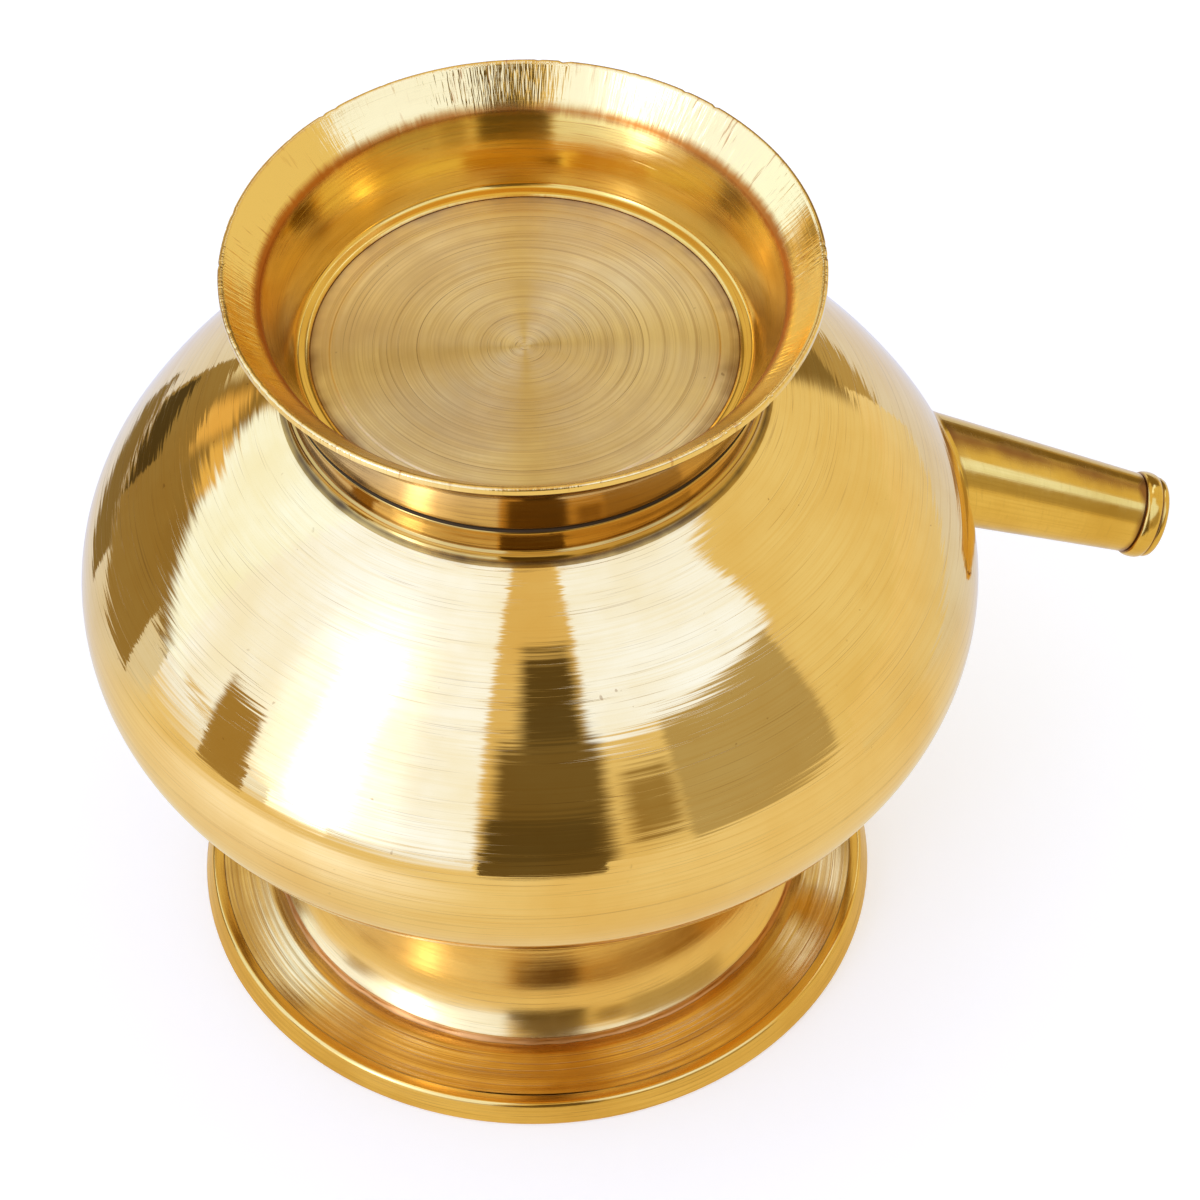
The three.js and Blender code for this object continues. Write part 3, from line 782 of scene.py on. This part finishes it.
floor_bsdf.inputs["Specular IOR Level"].default_value = 0.0
lit = f.mix(behind, FRONT_GLOW, REAR_GLOW)
lit = f.mix(f.range(pool.outputs["Value"], 0.02, 0.16, 1.0, 0.0), lit, POOL_GLOW)
glow = f.mix(floor_rays.outputs["Is Camera Ray"], BLACK, CAMERA_GLOW)
glow = f.mix(floor_rays.outputs["Is Glossy Ray"], glow, lit)
f.put(floor_bsdf.inputs["Emission Color"], glow)
floor_bsdf.inputs["Emission Strength"].default_value = 1.0
floor_mesh.materials.append(floor_material)

COOL, WARM, DIM = (1.12, 1.46, 3.0), (0.82, 0.70, 0.45), (0.84, 0.62, 0.27)


def shade(level, tint):
    return tuple(level * x for x in tint)


def screen(name, left, right, radius, bottom, top, colour, foot=None):
    """A low card standing round the pot, seen by the metal alone. Angles in degrees from the front. It may
    fade from the colour at its top to another at its foot."""
    steps = 12
    verts, faces = [], []
    for i in range(steps + 1):
        a = math.radians(left + (right - left) * i / steps)
        for z in (bottom, top):
            verts.append((AXIS_X + radius * math.sin(a), -radius * math.cos(a), z))
    for i in range(steps):
        faces.append((2 * i, 2 * i + 2, 2 * i + 3, 2 * i + 1))
    mesh = bpy.data.meshes.new(name)
    mesh.from_pydata(verts, [], faces)
    obj = bpy.data.objects.new(name, mesh)
    bpy.context.scene.collection.objects.link(obj)
    material = bpy.data.materials.new(name)
    material.use_nodes = True
    material.node_tree.nodes.remove(material.node_tree.nodes["Principled BSDF"])
    s = Shader(material.node_tree)
    height = s.node("ShaderNodeSeparateXYZ", {0: s.node("ShaderNodeNewGeometry").outputs["Position"]}).outputs[2]
    shine = s.node("ShaderNodeEmission", {"Color": s.mix(s.range(height, bottom, top), foot or colour, colour)})
    s.put(material.node_tree.nodes["Material Output"].inputs[0], shine.outputs[0])
    mesh.materials.append(material)
    obj.visible_camera = obj.visible_diffuse = obj.visible_shadow = obj.visible_transmission = False


# Each screen: from and to in degrees, its distance, its bottom and top in metres, its colour or colours
NEAR_FLOOR = (0.92, 0.84, 0.62)
screen("left_card", -141, -112, 0.27, 0.0, 0.1, shade(0.4, DIM))
screen("left_side_card", -112, -98, 0.27, 0.0, 0.088, shade(0.4, DIM))
screen("left_dark_card", -140, -127, 0.265, 0.008, 0.05, shade(0.1, DIM))
screen("left_low_card", -142, -116, 0.18, 0.0, 0.03, shade(0.3, DIM))
screen("left_glow", -93, -13, 0.5, 0.0, 0.085, shade(0.95, COOL), NEAR_FLOOR)
screen("hot_glow", -58, -44, 0.49, 0.0, 0.085, shade(1.8, COOL), NEAR_FLOOR)
screen("small_card", -76, -64, 0.48, 0.01, 0.09, shade(0.5, DIM))
screen("front_gap", -12, 14, 0.45, 0.0, 0.105, shade(0.18, DIM))
screen("rear_card", 135, 150, 0.6, 0.0, 0.1, (0.50, 0.39, 0.19))
screen("right_card", 72, 134, 0.33, 0.0, 0.09, (0.92, 0.83, 0.60), (0.86, 0.82, 0.70))

world = bpy.data.worlds.new("studio")
bpy.context.scene.world = world
world.use_nodes = True
w = Shader(world.node_tree)
sky = w.tree.nodes["Background"]
way = w.node("ShaderNodeSeparateXYZ", {0: w.node("ShaderNodeTexCoord").outputs["Generated"]})
turn = w.math("ARCTAN2", way.outputs[0], w.math("MULTIPLY", way.outputs[1], -1.0))  # from the front to the right
tilt = w.math("ARCSINE", way.outputs[2])  # above the horizon


def card(left, right, bottom, top, soft=1.0, lean=0.0, rise=0.0):
    """How far a direction lies inside a card of the studio, from 0 to 1. Angles in degrees; a card with a
    lean moves to the right by that many degrees for each degree upwards, and one with a rise climbs by that
    many degrees for each degree to the right of the front."""
    l, r, b, t, e = (math.radians(x) for x in (left, right, bottom, top, soft))
    at = w.math("MULTIPLY_ADD", tilt, -lean, turn)
    up = w.math("MULTIPLY_ADD", turn, -rise, tilt)
    sides = w.math("MULTIPLY", w.range(at, l - e, l + e), w.range(at, r - e, r + e, 1.0, 0.0))
    ends = w.math("MULTIPLY", w.range(up, b - e, b + e), w.range(up, t - e, t + e, 1.0, 0.0))
    return w.math("MULTIPLY", sides, ends)


# The room is warm white, a little lighter overhead. Each card in front of it has a level and a tint, and a later
# card covers an earlier one.
ROOM, OVERHEAD = (0.84, 0.74, 0.50), (0.95, 0.84, 0.56)
studio = w.mix(w.range(tilt, math.radians(50), math.radians(80)), ROOM, OVERHEAD)
for inside_card, level, tint in (
    # behind the pot
    (card(108, 165, 27, 46, 5), 0.32, DIM),
    (card(136, 181, -6, 38, 4), 0.3, DIM),
    (card(-181, -134, 18, 38, 5), 0.36, DIM),
    (card(-181, -139, -8, 17, 3), 1.0, (0.90, 0.92, 0.95)),
    (card(130, 147, 31, 64, 3), 1.3, COOL),
    # the bright panel at the left, its hot middle and the cards beside and in front of it
    (card(-133, -90, -4, 66, 2), 1.0, (1.14, 1.54, 3.0)),
    (card(-95, -13, 3, 80, 1.5), 1.0, COOL),
    (card(-63, -37, -6, 47, 11), 1.6, COOL),
    (card(-55, -45, -4, 42, 5), 3.5, COOL),
    (card(-142, -90, -110, -47, 2.5, 0.0, -0.49), 0.38, DIM),
    (card(-138, -130, 1, 13, 2.5), 1.0, (0.9, 0.64, 0.27)),
    (card(-129, -119, 9, 15, 2), 1.0, (0.9, 0.68, 0.30)),
    (card(-80, -68, -6, 13, 1), 0.5, DIM),
    # the warm strip in front, the bright panel at the upper right and the dark gap in the strip
    (card(-13, 17, -8, 80, 1.5), 1.0, WARM),
    (card(10, 92, 31, 72, 1.5, 0.12), 0.97, COOL),
    (card(-4, 14, 30, 54, 3), 0.14, DIM),
    (card(-10, 17, -8, 33, 2.5), 0.22, DIM),
    (card(-12, 14, -8, 16, 2), 0.14, DIM),
    # the right side
    (card(34, 72, 0, 31, 1.2), 0.62, WARM),
    (card(21, 33, 7, 23, 3), 0.42, DIM),
    (card(72, 135, -14, 52, 2, 0.12), 1.0, (0.88, 0.80, 0.55)),
):
    studio = w.mix(inside_card, studio, shade(level, tint))
BACKDROP, SOFT_LIGHT = (1.02, 1.02, 1.02), (0.9, 0.9, 0.9)  # what the camera sees, and what lights matt surfaces
world_rays = w.node("ShaderNodeLightPath")
colour = w.mix(world_rays.outputs["Is Camera Ray"], studio, BACKDROP)
colour = w.mix(world_rays.outputs["Is Diffuse Ray"], colour, SOFT_LIGHT)
w.put(sky.inputs["Color"], colour)
sky.inputs["Strength"].default_value = 1.0

bpy.context.scene.view_settings.view_transform = "Standard"

# Camera: a long lens at the photograph's angle

CAMERA_BACK, CAMERA_UP = 0.4472, 0.5620
pitch, yaw, roll = (math.radians(a) for a in (48.59, 0.79, -1.39))
ahead = Vector((0, math.cos(pitch), -math.sin(pitch)))
right = Vector((1, 0, 0))
above = right.cross(ahead)
ahead, right = (math.cos(yaw) * ahead + math.sin(yaw) * right, math.cos(yaw) * right - math.sin(yaw) * ahead)
right, above = (math.cos(roll) * right + math.sin(roll) * above, math.cos(roll) * above - math.sin(roll) * right)
camera = bpy.data.objects.new("camera", bpy.data.cameras.new("camera"))
bpy.context.scene.collection.objects.link(camera)
camera.matrix_world = Matrix.Translation((AXIS_X, -CAMERA_BACK, CAMERA_UP)) @ Matrix(
    (right, above, -ahead)).transposed().to_4x4()
camera.data.sensor_width = 36
camera.data.lens = 150
camera.data.clip_start, camera.data.clip_end = 0.05, 20
bpy.context.scene.camera = camera
